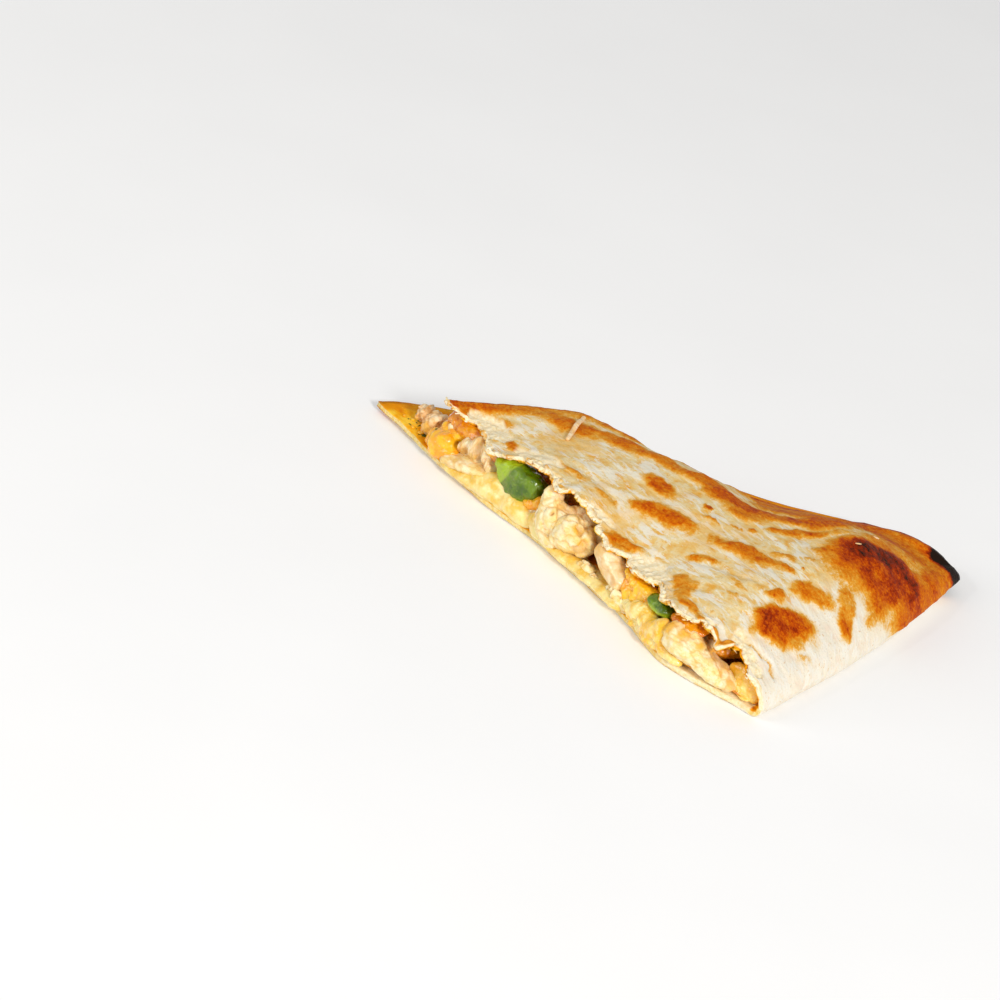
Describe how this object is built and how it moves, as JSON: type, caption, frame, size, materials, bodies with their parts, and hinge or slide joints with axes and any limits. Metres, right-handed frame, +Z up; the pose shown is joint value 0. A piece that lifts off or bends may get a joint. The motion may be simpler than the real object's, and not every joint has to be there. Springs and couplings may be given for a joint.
{
  "type": "quesadilla wedge",
  "caption": "Wedge of a folded, toasted flour tortilla, cut open along one side to show chicken, melted cheese, onion and green pepper.",
  "frame": {"origin": "middle of the wedge's box in plan, on the surface that it lies on", "axes": "+X along the knife cut towards the corner where the fold starts, +Y from the cut into the wedge, +Z up"},
  "size_m": [0.132, 0.092, 0.0171],
  "materials": {
    "tortilla": "dry toasted flour dough with browned blisters",
    "cheese": "melted cheese, glossy",
    "cheddar": "melted orange cheese, glossy",
    "chicken": "cooked chicken, fibrous and slightly moist",
    "onion": "cooked onion, translucent and wet",
    "pepper": "green pepper with shiny skin"
  },
  "bodies": {
    "root": {"tortilla": "tortilla", "melted_cheese": "cheese", "chicken_filling": "chicken", "chicken_strip": "chicken", "pepper_bit": "pepper", "cheese_melt": "cheese", "cheddar_chip": "cheddar", "onion_piece": "onion", "chicken_chunk": "chicken", "green_pepper": "pepper", "onion_slice": "onion", "chicken_sliver": "chicken", "cheddar_blob": "cheddar", "chicken_lump": "chicken"}
  },
  "joints": []
}
